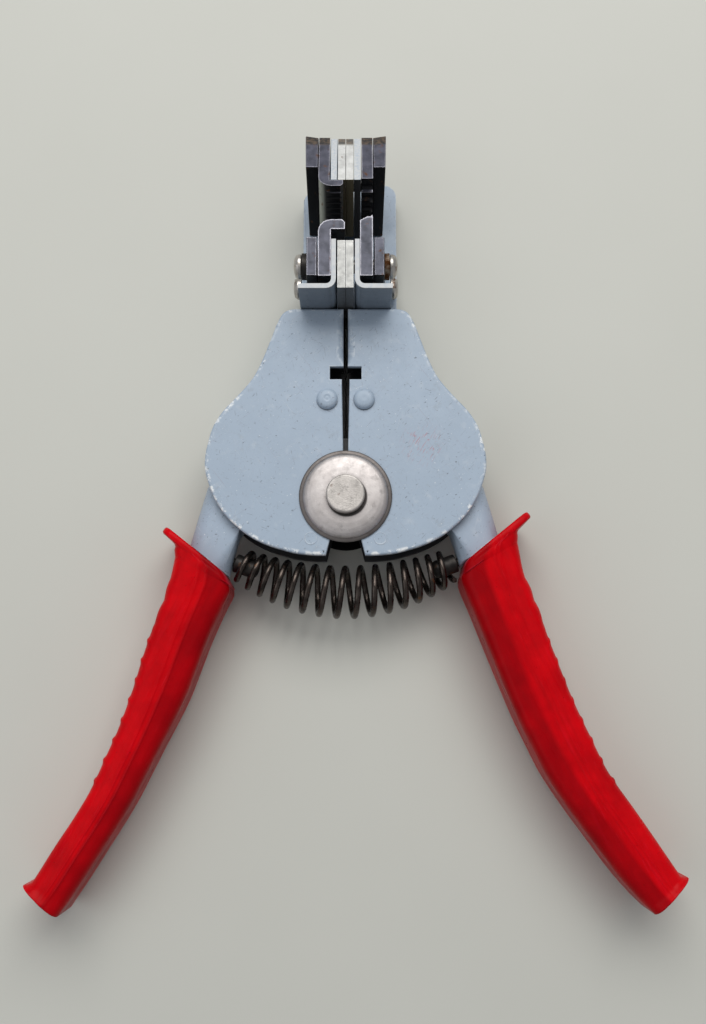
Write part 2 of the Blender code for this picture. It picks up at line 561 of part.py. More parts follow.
def make_upper_jaw(side, word):
    """Upper jaw, built closed and turned open about its hinge."""
    hy, hz = JAW_HINGE
    pivot = (side * 6.0, hy, hz)
    turn = -JAW_OPEN
    reach, top = WEB_REACH[side], WEB_TOP[side]
    web = [(0.15, top), (0.15, 47.0), (reach, 47.0)] + arc((reach - 3, top - 3), 3, 0, 90, 6)
    arm = prism(f"{word}_upper_arm", web, 3.0, 4.5, side=side)
    flange = ((62.1, 6.0), (62.1, 32.3), (73.7, 32.3), (77.0, 31.6), (77.0, 29.0), (76.0, 13.6), (75.0, 11.6))
    combine(arm, [prism(f"{word}_arm_flange", flange, 1.95, 3.4, "X", side, turn)], "UNION")
    cheek = [(hy - 3.2, 4.2)]
    for i in range(9):
        angle = math.pi * (1 - i / 8)
        cheek.append((hy + 3.2 * math.cos(angle), hz + 3.2 * math.sin(angle)))
    cheek.append((hy + 6.5, 4.2))
    for i, (low, high) in enumerate(((3.5, 4.6), (7.5, 8.8))):
        combine(arm, [prism(f"{word}_cheek_{i}", cheek, low, high, "X", side)], "UNION")
    rivets = (69.8, 24.0)
    hole = turned(rivets, turn)
    pin_hole = rod(f"{word}_arm_hinge_hole", (side * 1, hy, hz), (side * 10, hy, hz), 1.35)
    rivet_hole = rod(f"{word}_arm_rivet_hole", (side * 1, *hole), (side * 5, *hole), 1.65)
    combine(arm, [pin_hole, rivet_hole], "DIFFERENCE")
    finish(arm, "painted_sheet", pivot)
    inner = ((62.1, 15.0), (62.1, 32.3), (73.7, 32.3), (77.0, 31.6), (77.0, 29.0), (75.5, 20.0), (70.0, 15.0))
    plate = drilled(f"{word}_upper_inner_plate", inner, *INNER_X, side, rivets, turn=turn)
    finish(plate, "bright_plate", pivot)
    outer = (
        (66.3, 11.2), (66.3, 32.3), (73.9, 32.3), (77.5, 31.5), (77.5, 29.5), (75.5, 19.0), (72.0, 13.9),
    )
    plate = drilled(f"{word}_upper_side_plate", outer, *SIDE_PLATE_X, side, rivets, turn=turn)
    finish(plate, "black_oxide", pivot)
    if side < 0:
        hook = hook_outline(0.6, 3.65, 6.2, 77.5, 62.0, 60.1, 3.0)
        jaw = prism("upper_grip_jaw", hook, 15.0, 32.3, side=side, turn=turn)
        corners = (
            ((73.9, 32.3), (78.0, 31.4), (78.0, 33.0), (73.9, 33.0)),
            ((70.0, 14.8), (75.5, 20.0), (78.0, 30.0), (78.0, 14.8)),
        )
        trims = [prism(f"upper_grip_trim_{i}", c, 3.0, 7.0, "X", side, turn) for i, c in enumerate(corners)]
        combine(jaw, trims, "DIFFERENCE")
        teeth = []
        for i in range(10):
            z = 16.4 + 1.55 * i
            tooth = ((59.8, z - 0.4), (60.5, z), (59.8, z + 0.4))
            teeth.append(prism(f"upper_tooth_{i}", tooth, 0.3, 7.0, "X", side, turn))
        combine(jaw, teeth, "DIFFERENCE")
    else:
        body = ((62.5, 14.0), (62.5, 32.3), (73.9, 32.3), (77.5, 31.5), (77.5, 29.5), (75.0, 20.0), (70.0, 14.0))
        jaw = prism("upper_blade", body, 3.65, 6.2, "X", side, turn)
        combine(jaw, notch_cutters("upper_blade", side, 62.5, turn), "DIFFERENCE")
    cut = rod(f"{jaw.name}_hole", (side * 3.5, *hole), (side * 6.4, *hole), 1.65)
    combine(jaw, [cut], "DIFFERENCE")
    finish(jaw, "black_oxide", pivot)
    rivet = rod(f"{word}_upper_rivet", (side * 0.25, *hole), (side * 8.65, *hole), 1.5)
    finish(rivet, "bright_plate", pivot)
    coil = [(side * 5.3, hy - 6.1, hz - 2.0)]
    for i in range(37):
        angle = math.pi + 4 * math.pi * i / 36
        coil.append((side * (5.35 + 1.5 * i / 36), hy - 2.0 * math.sin(angle), hz + 2.0 * math.cos(angle)))
    coil.append((side * 6.9, hy + 7.0, hz - 2.9))
    finish(wire(f"{word}_jaw_spring", coil, 0.32), "spring_wire")


clear_scene()
PARTS = new_collection(OBJECT_NAME)
CUTTERS = new_collection("cutters", hidden=True)
make_pivot()
make_main_spring()
for word, side in SIDES:
    make_plates(side, word)
    make_body_pins(side, word)
    pocket = make_lever(side, word)
    make_post(side, word)
    make_grip(side, word, pocket)
    make_bracket(side, word)
    make_lower_jaw(side, word)
    make_upper_jaw(side, word)
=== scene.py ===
import json
import math

import bmesh
import bpy
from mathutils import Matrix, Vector


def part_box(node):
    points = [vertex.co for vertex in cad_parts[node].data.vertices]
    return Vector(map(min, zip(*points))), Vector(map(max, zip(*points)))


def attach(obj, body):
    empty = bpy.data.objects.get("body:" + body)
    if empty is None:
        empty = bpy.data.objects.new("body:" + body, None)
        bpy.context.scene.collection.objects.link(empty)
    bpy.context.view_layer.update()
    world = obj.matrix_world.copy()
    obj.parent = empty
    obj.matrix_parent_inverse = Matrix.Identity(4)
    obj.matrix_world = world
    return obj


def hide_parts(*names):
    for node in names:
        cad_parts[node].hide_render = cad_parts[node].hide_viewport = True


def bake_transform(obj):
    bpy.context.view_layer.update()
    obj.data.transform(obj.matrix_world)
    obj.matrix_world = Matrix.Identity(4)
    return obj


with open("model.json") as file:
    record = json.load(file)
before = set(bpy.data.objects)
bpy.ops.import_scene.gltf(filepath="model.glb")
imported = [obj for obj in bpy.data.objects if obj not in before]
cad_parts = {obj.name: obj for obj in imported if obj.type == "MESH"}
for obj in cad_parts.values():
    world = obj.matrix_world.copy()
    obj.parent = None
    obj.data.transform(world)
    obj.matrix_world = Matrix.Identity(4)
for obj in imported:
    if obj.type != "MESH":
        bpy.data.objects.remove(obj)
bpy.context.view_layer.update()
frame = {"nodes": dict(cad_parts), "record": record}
MM = 0.001
SIDES = (("left", -1), ("right", 1))
FRONT = (0, 0, 1)
TOWARDS_HANDLES = (0, -1, 0)
BODY_OF = {n: b for b, members in frame["record"]["behaviour"]["bodies"].items() for n in members}


# Materials


class Look:
    """A procedural material under construction. Its patterns are laid out in millimetres on the object."""

    def __init__(self, slot, metallic, roughness, variant=""):
        self.slot = slot
        self.material = bpy.data.materials.new(slot + variant)
        self.material.use_nodes = True
        self.tree = self.material.node_tree
        self.shader = self.tree.nodes["Principled BSDF"]
        self.shader.inputs["Metallic"].default_value = metallic
        self.shader.inputs["Roughness"].default_value = roughness
        self.mm = self.add("ShaderNodeVectorMath", operation="SCALE")
        self.mm.inputs["Scale"].default_value = 1000
        self.join(self.add("ShaderNodeTexCoord").outputs["Object"], self.mm.inputs[0])
        self.mm = self.mm.outputs[0]

    def add(self, kind, **settings):
        """A new node of a kind."""
        made = self.tree.nodes.new(kind)
        for key, value in settings.items():
            setattr(made, key, value)
        return made

    def join(self, value, socket):
        """Links another node's output to a socket, or sets the socket to a number or a colour."""
        if isinstance(value, bpy.types.NodeSocket):
            self.tree.links.new(value, socket)
        elif isinstance(value, tuple) and len(socket.default_value) == 4:
            socket.default_value = (*value[:3], 1)
        else:
            socket.default_value = value

    def maths(self, operation, a, b=0.0):
        """A sum or a comparison, kept between 0 and 1 unless it may be negative or a distance."""
        clamped = operation not in ("SUBTRACT", "ABSOLUTE")
        made = self.add("ShaderNodeMath", operation=operation, use_clamp=clamped)
        self.join(a, made.inputs[0])
        self.join(b, made.inputs[1])
        return made.outputs[0]

    def times(self, a, b):
        """Both, multiplied and kept between 0 and 1."""
        return self.maths("MULTIPLY", a, b)

    def most(self, a, b):
        """The larger of the two, kept between 0 and 1."""
        return self.maths("MAXIMUM", a, b)

    def off_middle(self):
        """The distance in millimetres from the middle plane of the tool."""
        return self.maths("ABSOLUTE", self.along("X"))

    def mapped(self, stretch=(1, 1, 1), turn=0.0, offset=(0, 0, 0)):
        """The coordinate for a pattern that is stretched, turned about Z in degrees and moved."""
        made = self.add("ShaderNodeMapping", vector_type="TEXTURE")
        self.join(self.mm, made.inputs["Vector"])
        made.inputs["Location"].default_value = offset
        made.inputs["Rotation"].default_value = (0, 0, math.radians(turn))
        made.inputs["Scale"].default_value = stretch
        return made.outputs[0]

    def noise(self, size, detail=3.0, stretch=(1, 1, 1), turn=0.0, offset=(0, 0, 0), rough=0.55):
        """Uneven grey from 0 to 1, with features of about a size in millimetres."""
        made = self.add("ShaderNodeTexNoise")
        self.join(self.mapped(stretch, turn, offset), made.inputs["Vector"])
        made.inputs["Scale"].default_value = 1 / size
        made.inputs["Detail"].default_value = detail
        made.inputs["Roughness"].default_value = rough
        return made.outputs["Fac"]

    def span(self, value, low, high, out_low=0.0, out_high=1.0):
        """Takes the range from low to high to another one, and holds the value beyond it."""
        made = self.add("ShaderNodeMapRange")
        self.join(value, made.inputs["Value"])
        for key, number in (("From Min", low), ("From Max", high), ("To Min", out_low), ("To Max", out_high)):
            made.inputs[key].default_value = number
        return made.outputs["Result"]

    def mix(self, share, a, b):
        """Colour a where the share is 0 and colour b where it is 1."""
        made = self.add("ShaderNodeMix", data_type="RGBA")
        self.join(share, made.inputs[0])
        self.join(a, made.inputs[6])
        self.join(b, made.inputs[7])
        return made.outputs[2]

    def edge(self, radius, low=0.02, high=0.25):
        """1 near a hard edge and 0 on a flat face."""
        bevel = self.add("ShaderNodeBevel", samples=6)
        bevel.inputs["Radius"].default_value = radius * MM
        made = self.add("ShaderNodeVectorMath", operation="DOT_PRODUCT")
        self.join(bevel.outputs[0], made.inputs[0])
        self.join(self.add("ShaderNodeNewGeometry").outputs["Normal"], made.inputs[1])
        return self.span(self.maths("SUBTRACT", 1.0, made.outputs["Value"]), low, high)

    def spot(self, centre, radius, soft):
        """1 within a radius of a point seen from the front, fading to 0."""
        made = self.add("ShaderNodeVectorMath", operation="DISTANCE")
        flat = self.add("ShaderNodeVectorMath", operation="MULTIPLY")
        self.join(self.mm, flat.inputs[0])
        flat.inputs[1].default_value = (1, 1, 0)
        self.join(flat.outputs[0], made.inputs[0])
        made.inputs[1].default_value = (*centre, 0)
        return self.span(made.outputs["Value"], radius, radius + soft, 1, 0)

    def along(self, axis):
        """The X, Y or Z coordinate in millimetres."""
        made = self.add("ShaderNodeSeparateXYZ")
        self.join(self.mm, made.inputs[0])
        return made.outputs[axis]

    def facing(self, way, low=0.5, high=0.8):
        """1 where the surface faces a direction."""
        made = self.add("ShaderNodeVectorMath", operation="DOT_PRODUCT")
        self.join(self.add("ShaderNodeNewGeometry").outputs["Normal"], made.inputs[0])
        made.inputs[1].default_value = way
        return self.span(made.outputs["Value"], low, high)

    def bump(self, height, depth, after=None):
        """A normal that raises a pattern by a depth in millimetres, over another bump if there is one."""
        made = self.add("ShaderNodeBump")
        self.join(height, made.inputs["Height"])
        made.inputs["Distance"].default_value = depth * MM
        made.inputs["Strength"].default_value = 1.0
        if after is not None:
            self.join(after, made.inputs["Normal"])
        return made.outputs[0]

    def finish(self, colour=None, roughness=None, normal=None, **fixed):
        """Joins the patterns to the shader and sets its other inputs to fixed numbers."""
        for value, key in ((colour, "Base Color"), (roughness, "Roughness"), (normal, "Normal")):
            if value is not None:
                self.join(value, self.shader.inputs[key])
        for key, value in fixed.items():
            self.shader.inputs[key.replace("_", " ")].default_value = value
        return self


WEB_EDGE = (3.42, 3.6)
MOUTH_TOP = (69.5, 70.5)
JAW_FRONT = (0, 0.41, 0.91)


def scratches(look, width=0.16, length=9.0, turns=(20, 75, 130), low=0.68, high=0.73):
    """Thin straight marks in a few directions."""
    total = 0.0
    for i, turn in enumerate(turns):
        fine = look.noise(1.0, 2, (length, width, 4), turn, (17.0 * i, 5.0 * i, 3.0))
        total = look.most(total, look.span(fine, low, high))
    return total


def inside_of_plates(look):
    """Painted shade in the space between the body plates, near the middle."""
    middle = look.span(look.off_middle(), 6, 9, 1, 0)
    middle = look.most(middle, look.span(look.along("Y"), 1, 6, 1, 0))
    depth = look.times(look.span(look.along("Z"), 3.3, 3.8), look.span(look.along("Z"), 15.2, 16.2, 1, 0))
    return look.times(middle, depth)


def plate_painted_shade(look):
    """Painted shade on the inside of the plates and in the slit near the cap, and a painted shadow as a thin
    crescent below each domed rivet.
    """
    ring = 0.0
    # Painted shadow: a thin crescent below each domed rivet.
    for x, y in RIVETS:
        ring = look.most(ring, look.spot((x, y - 0.28), 2.15, 0.35))
    slit = look.span(look.off_middle(), 0.48, 0.54, 1, 0)
    slit = look.times(slit, look.span(look.along("Y"), 9.5, 10))
    return look.most(look.most(inside_of_plates(look), slit), look.times(ring, 0.75))


def shade_near_the_pivot(look):
    """Painted shade on the hubs of the levers, under the plates and caps."""
    return look.spot((0, 0), 13.5, 3.0)


def front_edges(look):
    """Rubbed bright where the head's folded sheet ends at the front."""
    patchy = look.span(look.noise(1.2, 4), 0.3, 0.55, 0.55, 1)
    return look.times(look.span(look.along("Z"), 29.2, 29.7), patchy)


def shaded_bracket_fronts(look):
    """Painted shade on the upright faces of the brackets."""
    return look.times(look.facing(TOWARDS_HANDLES, 0.5, 0.9), 0.62)


def web_fronts(look):
    """Rubbed bright on the sloping front ends of the webs between the jaws."""
    inner = look.span(look.off_middle(), *WEB_EDGE, 1, 0)
    patchy = look.span(look.noise(0.5, 5), 0.38, 0.6, 0.45, 1)
    inner = look.times(inner, look.span(look.along("Y"), *MOUTH_TOP))
    return look.times(look.times(inner, look.facing(JAW_FRONT, 0.8, 0.9)), patchy)


def mouth_of_arms(look):
    """Painted shade in the mouth and on the faces turned to the handles."""
    inner = look.span(look.off_middle(), *WEB_EDGE, 1, 0)
    mouth = look.times(look.span(look.along("Y"), 56, 57), look.span(look.along("Y"), *MOUTH_TOP, 1, 0))
    mouth = look.times(mouth, look.times(inner, look.span(look.along("Z"), 8, 9)))
    return look.most(look.facing(TOWARDS_HANDLES, 0.3, 0.6), mouth)


def paint_look(variant="", scuff=None, dirt=0.5, dark=None, worn=None):
    """Grey-blue paint with grime, specks, scratches and chipped edges. Dark and worn are masks; dark is
    painted shade, near black.

    The marks of the scuff, if there is one, lie round a point on the front."""
    look = Look("painted_sheet", 0.0, 0.42, variant)
    base = look.mix(look.noise(9, 4), (0.312, 0.382, 0.465), (0.362, 0.442, 0.535))
    pale = look.span(look.noise(2.6, 5, offset=(4, 1, 2)), 0.60, 0.78)
    base = look.mix(look.times(pale, 0.4), base, (0.50, 0.55, 0.60))
    grime = look.span(look.noise(3.4, 7, offset=(9, 3, 7), rough=0.65), 0.60, 0.80)
    base = look.mix(look.times(grime, dirt), base, (0.22, 0.235, 0.25))
    specks = look.span(look.noise(0.7, 3, (1.3, 0.7, 1), 30, (1, 8, 3)), 0.66, 0.71)
    base = look.mix(look.times(specks, 0.7), base, (0.10, 0.105, 0.12))
    pale_dots = look.span(look.noise(0.42, 1, offset=(6, 2, 9)), 0.725, 0.76)
    base = look.mix(look.times(pale_dots, 0.7), base, (0.66, 0.69, 0.71))
    lines = look.times(scratches(look), look.span(look.noise(6, 2, offset=(2, 2, 2)), 0.45, 0.6))
    base = look.mix(look.times(lines, 0.55), base, (0.60, 0.64, 0.67))
    dark_lines = scratches(look, 0.22, 2.6, (48, 160, 100), 0.70, 0.74)
    base = look.mix(look.times(dark_lines, 0.6), base, (0.14, 0.145, 0.17))
    long_lines = scratches(look, 0.14, 16.0, (128, 35), 0.70, 0.75)
    base = look.mix(look.times(long_lines, 0.4), base, (0.24, 0.17, 0.20))
    if scuff:
        marks = look.noise(1.0, 3, (2.6, 0.35, 4), 62, (3, 7, 1))
        marks = look.most(look.span(marks, 0.56, 0.66), look.span(look.noise(0.8, 3), 0.62, 0.7))
        marks = look.times(marks, look.spot(scuff, 2.2, 3.4))
        base = look.mix(look.times(marks, 0.75), base, (0.40, 0.17, 0.20))
    rim = look.edge(0.55, 0.03, 0.22)
    chips = look.span(look.noise(1.1, 5, offset=(5, 5, 1)), 0.44, 0.60)
    rim = look.times(rim, look.maths("ADD", look.times(chips, 0.75), 0.2))
    base = look.mix(rim, base, (0.66, 0.69, 0.70))
    bare = look.add("ShaderNodeAttribute", attribute_name="wear").outputs["Fac"]
    flakes = look.span(look.noise(1.5, 6, offset=(3, 1, 6), rough=0.7), 0.50, 0.58)
    flakes = look.times(flakes, look.span(look.noise(14, 2, offset=(5, 7, 0)), 0.38, 0.55, 0.15, 1))
    base = look.mix(look.times(bare, flakes), base, (0.78, 0.80, 0.80))
    if worn:
        base = look.mix(worn(look), base, (0.56, 0.57, 0.57))
    # Painted shade: near black where the dark mask is.
    if dark:
        base = look.mix(dark(look), base, (0.010, 0.010, 0.011))
    rough = look.span(look.noise(3, 4, offset=(8, 8, 8)), 0.3, 0.7, 0.34, 0.52)
    skin = look.bump(look.noise(0.9, 3), 0.012)
    normal = look.bump(look.most(lines, specks), -0.02, skin)
    return look.finish(base, rough, normal)


def metal_look(slot, base, other, rough, metallic=1.0, rust=0.0, edge=None, grain=0.02, variant="",
               stain=0.5, rubbed=0.3, over=None, black_above=None):
    """Bare or blackened metal: uneven tone, fine grain, polished edges and rust where asked.

    Over adds a piece's own painted shade and marks to the tone. Above the height black_above, the tone is
    painted near black as shade."""
    look = Look(slot, metallic, sum(rough) / 2, variant)
    tone = look.mix(look.span(look.noise(2.2, 5), 0.3, 0.7), base, other)
    stains = look.span(look.noise(1.5, 6, offset=(3, 9, 4)), 0.55, 0.75)
    tone = look.mix(look.times(stains, stain), tone, tuple(c * 0.45 for c in base))
    marks = scratches(look, 0.09, 3.0, (12, 95, 150), 0.66, 0.72)
    tone = look.mix(look.times(marks, 0.35), tone, tuple(min(c * 1.7 + 0.03, 1) for c in other))
    if edge:
        patchy = look.span(look.noise(1.3, 3), 0.25, 0.5, 0.45, 1)
        tone = look.mix(look.times(look.edge(rubbed, 0.02, 0.16), patchy), tone, edge)
    roughness = look.span(look.noise(1.2, 5, offset=(7, 1, 5)), 0.3, 0.7, *rough)
    if over:
        tone = over(look, tone)
    # Painted shade: near black above a height.
    if black_above is not None:
        inside = look.span(look.along("Z"), black_above, black_above + 0.15)
        tone = look.mix(inside, tone, (0.008, 0.008, 0.008))
    if rust:
        patches = look.noise(1.7, 6, offset=(2, 6, 8))
        patches = look.span(patches, 0.68 - 0.22 * rust, 0.80 - 0.2 * rust)
        tone = look.mix(patches, tone, (0.13, 0.055, 0.022))
        roughness = look.maths("ADD", roughness, look.times(patches, 0.3))
    normal = look.bump(look.noise(0.35, 4), grain)
    return look.finish(tone, roughness, normal)


def head_shading(under, below=None, pale=None):
    """Painted shade for a plate of the head: one colour on the faces turned to the handles; mottled tops.

    What lies below a height takes that painted shade too. Pale is a stretch of X where that shade is a dull
    light grey, a painted reflection."""
    def shade(look, tone):
        # Painted shade on the faces turned to the handles.
        hidden = look.facing(TOWARDS_HANDLES, 0.08, 0.25)
        colour = under
        if below:
            hidden = look.most(hidden, look.span(look.along("Y"), below - 0.3, below, 1, 0))
        # Painted reflection: a dull light grey on the shaded faces within a stretch of X.
        if pale:
            colour = look.mix(look.span(look.along("X"), *pale, 1, 0), under, (0.30, 0.32, 0.29))
        tone = look.mix(hidden, tone, colour)
        tops = look.times(look.span(look.along("Y"), 81.7, 82.5), look.facing((0, 0.6, 0.8), 0.75, 0.85))
        mottle = look.span(look.noise(0.9, 6, offset=(4, 4, 4)), 0.42, 0.6)
        mottle = look.mix(mottle, (0.016, 0.012, 0.010), (0.15, 0.10, 0.06))
        return look.mix(look.times(tops, 0.85), tone, mottle)
    return shade


def cap_shading(look, tone):
    """Painted shade on a dark brown brim round the disc, and a painted shadow as a dark crescent beside the
    rivet's head.
    """
    tone = look.mix(look.spot((0, 0), 9.5, 0.12), look.mix(0.25, (0.05, 0.04, 0.035), tone), tone)
    # Painted shadow beside the rivet's head.
    shade = look.spot((0.35, -0.45), 4.35, 0.3)
    shade = look.times(shade, look.span(look.along("Z"), 18.7, 18.9))
    return look.mix(look.times(shade, 0.9), tone, (0.012, 0.010, 0.009))


def oxide_look(base, other, shading, variant=""):
    """Black oxide with edges rubbed to a violet grey."""
    return metal_look(
        "black_oxide", base, other, (0.36, 0.5), 0.6, 0.25, (0.55, 0.54, 0.60),
        variant=variant, rubbed=0.5, over=shading,
    )


def grip_look(side):
    """Glossy red plastic, streaked along the grip, deeper towards the inner side, with painted sheen on its
    edges and on the faces turned inwards and towards the head.
    """
    look = Look("red_grip", 0.0, 0.3, f"_{'left' if side < 0 else 'right'}")
    turn = side * 26
    base = look.mix(look.span(look.noise(7, 3), 0.35, 0.65), (0.60, 0.0012, 0.005), (0.46, 0.0008, 0.004))
    streaks = look.span(look.noise(2.6, 4, (0.8, 7.0, 1.4), turn, (1, 2, 3)), 0.46, 0.72)
    base = look.mix(look.times(streaks, 0.4), base, (0.30, 0.0008, 0.003))
    light = look.span(look.noise(2.0, 3, (0.7, 8.0, 1.4), turn, (6, 4, 2)), 0.60, 0.76)
    base = look.mix(look.times(light, 0.22), base, (0.78, 0.008, 0.03))
    fine = look.span(look.noise(0.8, 3, (0.25, 6.0, 1.2), turn, (8, 3, 5)), 0.66, 0.75)
    base = look.mix(look.times(fine, 0.25), base, (0.85, 0.03, 0.06))
    specks = look.span(look.noise(0.7, 2, offset=(3, 3, 3)), 0.72, 0.76)
    base = look.mix(look.times(specks, 0.6), base, (0.12, 0.002, 0.002))
    inner = look.add("ShaderNodeAttribute", attribute_name="wear").outputs["Fac"]
    inner = look.times(inner, look.span(look.noise(8, 3, offset=(4, 2, 0)), 0.3, 0.7, 0.45, 0.85))
    base = look.mix(inner, base, (0.24, 0.0006, 0.003))
    # Painted sheen: lighter red along the edges.
    rim = look.edge(0.6, 0.04, 0.3)
    base = look.mix(look.times(rim, 0.3), base, (0.85, 0.04, 0.08))
    # Painted highlight: lighter red on the faces turned inwards and towards the head, where the light comes
    # from.
    wall_sheen = look.facing((side * -0.87, 0.5, 0.05), 0.93, 0.985)
    base = look.mix(look.times(wall_sheen, 0.5), base, (0.60, 0.04, 0.07))
    rough = look.span(look.noise(2.5, 5, (0.6, 3, 1), turn), 0.3, 0.7, 0.24, 0.42)
    skin = look.bump(look.noise(4.0, 2, (0.8, 2.6, 1), turn, (2, 1, 4)), 0.05)
    normal = look.bump(look.noise(0.6, 3), 0.012, skin)
    look.finish(base, rough, normal, Subsurface_Weight=0.08, Subsurface_Scale=0.003, Specular_IOR_Level=0.06)
    look.shader.inputs["Subsurface Radius"].default_value = (1.0, 0.08, 0.08)
    return look


RIVETS = []
for word, side in SIDES:
    low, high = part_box(f"{word}_body_rivet")
    RIVETS.append(((low.x + high.x) / 2 / MM, (low.y + high.y) / 2 / MM))

# The dark masks of the plate, lever, bracket and arm paints are painted shade.
PAINT = paint_look("", None, 0.5, plate_painted_shade)
PAINT_SCUFFED = paint_look("_scuffed", (17.5, 12.0), 0.5, plate_painted_shade)
PAINT_DIRTY = paint_look("_worn", None, 0.85)
PAINT_LEVER = paint_look("_lever", None, 0.6, shade_near_the_pivot)
PAINT_BRACKET = paint_look("_bracket", None, 0.85, shaded_bracket_fronts, front_edges)
PAINT_ARM = paint_look("_arm", None, 0.85, mouth_of_arms, web_fronts)
CAP = metal_look(
    "nickel_cap", (0.46, 0.425, 0.41), (0.55, 0.515, 0.50), (0.46, 0.58), edge=(0.66, 0.63, 0.61),
    grain=0.012, over=cap_shading,
)
HEAD = metal_look(
    "nickel_cap", (0.40, 0.375, 0.35), (0.53, 0.495, 0.465), (0.42, 0.58), 0.85, 0.1,
    (0.70, 0.67, 0.63), 0.04, variant="_head", stain=0.8,
)
# The rear cap's inner face is painted near black as shade.
REAR_CAP = metal_look(
    "nickel_cap", (0.50, 0.42, 0.36), (0.60, 0.52, 0.46), (0.34, 0.48), edge=(0.78, 0.72, 0.66),
    grain=0.012, variant="_rear", black_above=2.55,
)
STEEL = metal_look(
    "steel_screw", (0.42, 0.40, 0.37), (0.55, 0.52, 0.48), (0.28, 0.45), rust=0.5, edge=(0.7, 0.68, 0.64),
)
RUSTY = metal_look(
    "steel_screw", (0.20, 0.15, 0.11), (0.34, 0.28, 0.22), (0.45, 0.65), rust=1.3, variant="_rusty",
)
# Near black for painted shade on faces of the head turned to the handles.
SHADE_BLACK = (0.006, 0.006, 0.007)
UPPER_TONES = ((0.060, 0.062, 0.082), (0.125, 0.126, 0.165))
OXIDE = oxide_look((0.040, 0.042, 0.054), (0.086, 0.088, 0.113), head_shading(SHADE_BLACK))
UPPER_HOOK = oxide_look(*UPPER_TONES, head_shading(SHADE_BLACK, 68.5, (-5.8, -4.5)), "_hook")
UPPER_BLADE = oxide_look(*UPPER_TONES, head_shading(SHADE_BLACK, 70.0), "_blade")
COLLAR = metal_look(
    "black_oxide", (0.020, 0.019, 0.019), (0.05, 0.045, 0.04), (0.4, 0.6), 0.8, 0.4, variant="_collar",
)
# The bright plates' faces turned to the handles are painted in shade: olive brown on the upper plates, grey
# on the lower.
BRIGHT = metal_look(
    "bright_plate", (0.56, 0.56, 0.54), (0.78, 0.78, 0.76), (0.4, 0.55), 0.5, 0.1, (0.85, 0.85, 0.83),
    over=head_shading((0.10, 0.084, 0.050), 70.0),
)
LOWER_BRIGHT = metal_look(
    "bright_plate", (0.30, 0.30, 0.29), (0.46, 0.46, 0.44), (0.4, 0.55), 0.6, 0.1, (0.8, 0.8, 0.78),
    variant="_lower", over=head_shading((0.12, 0.125, 0.13)),
)
WIRE = metal_look("spring_wire", (0.030, 0.024, 0.021), (0.085, 0.068, 0.058), (0.18, 0.34), 0.9, 0.15)


# Shapes


def pieces_mesh(name, bm, sharp=32):
    """A smooth mesh with edges sharper than an angle in degrees kept sharp."""
    bmesh.ops.remove_doubles(bm, verts=bm.verts, dist=1e-7)
    bmesh.ops.recalc_face_normals(bm, faces=bm.faces)
    mesh = bpy.data.meshes.new(name)
    bm.to_mesh(mesh)
    bm.free()
    mesh.shade_smooth()
    mesh.set_sharp_from_angle(angle=math.radians(sharp))
    return mesh


def place(name, mesh, look, body, *nodes):
    """Puts a piece in the scene, on its body, in place of its CAD nodes."""
    obj = bpy.data.objects.new(name, mesh)
    bpy.context.scene.collection.objects.link(obj)
    obj.data.materials.clear()
    obj.data.materials.append(look.material)
    if nodes:
        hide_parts(*nodes)
    if body:
        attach(obj, body)
    return obj


def loft(bm, rings, wear=()):
    """Skins a list of rings of points in millimetres. A ring of one point is a pole.

    Wear is a number for each point, which the looks read."""
    layer = bm.verts.layers.float.get("wear") or bm.verts.layers.float.new("wear")
    made = [[bm.verts.new(Vector(p) * MM) for p in ring] for ring in rings]
    if wear:
        for ring, shares in zip(made, wear):
            for vert, share in zip(ring, shares):
                vert[layer] = share
    for a, b in zip(made, made[1:]):
        count = max(len(a), len(b))
        for i in range(count):
            j = (i + 1) % count
            corners = [a[i % len(a)], a[j % len(a)], b[j % len(b)], b[i % len(b)]]
            corners = [v for k, v in enumerate(corners) if v not in corners[:k]]
            if len(corners) > 2:
                bm.faces.new(corners)
    for ring in (made[0], made[-1]):
        if len(ring) > 2:
            bm.faces.new(ring)


def lathe_rings(profile, centre=(0, 0, 0), axis=FRONT, segments=96):
    """A profile of radius and height turned about an axis."""
    centre, axis = Vector(centre), Vector(axis).normalized()
    across = axis.orthogonal().normalized()
    up = axis.cross(across)
    rings = []
    for radius, height in profile:
        hub = centre + axis * height
        if radius < 1e-6:
            rings.append([hub])
            continue
        turns = [2 * math.pi * i / segments for i in range(segments)]
        rings.append([hub + radius * (math.cos(t) * across + math.sin(t) * up) for t in turns])
    return rings


def rounded(profile, radius=0.25, steps=4):
    """A profile with each inner corner replaced by a small curve."""
    result = [profile[0]]
    for before, here, after in zip(profile, profile[1:], profile[2:]):
        a, b, c = Vector(before), Vector(here), Vector(after)
        reach = min(radius, (a - b).length * 0.45, (c - b).length * 0.45)
        start, end = b + (a - b).normalized() * reach, b + (c - b).normalized() * reach
        for i in range(steps + 1):
            t = i / steps
            result.append(tuple(start * (1 - t) ** 2 + b * 2 * t * (1 - t) + end * t * t))
    return result + [profile[-1]]


def turned(name, profile, look, body, nodes, centre=(0, 0, 0), axis=FRONT, segments=96, radius=0.25):
    """A turned piece whose profile has its corners rounded."""
    bm = bmesh.new()
    loft(bm, lathe_rings(rounded(profile, radius), centre, axis, segments))
    return place(name, pieces_mesh(name, bm), look, body, *nodes)


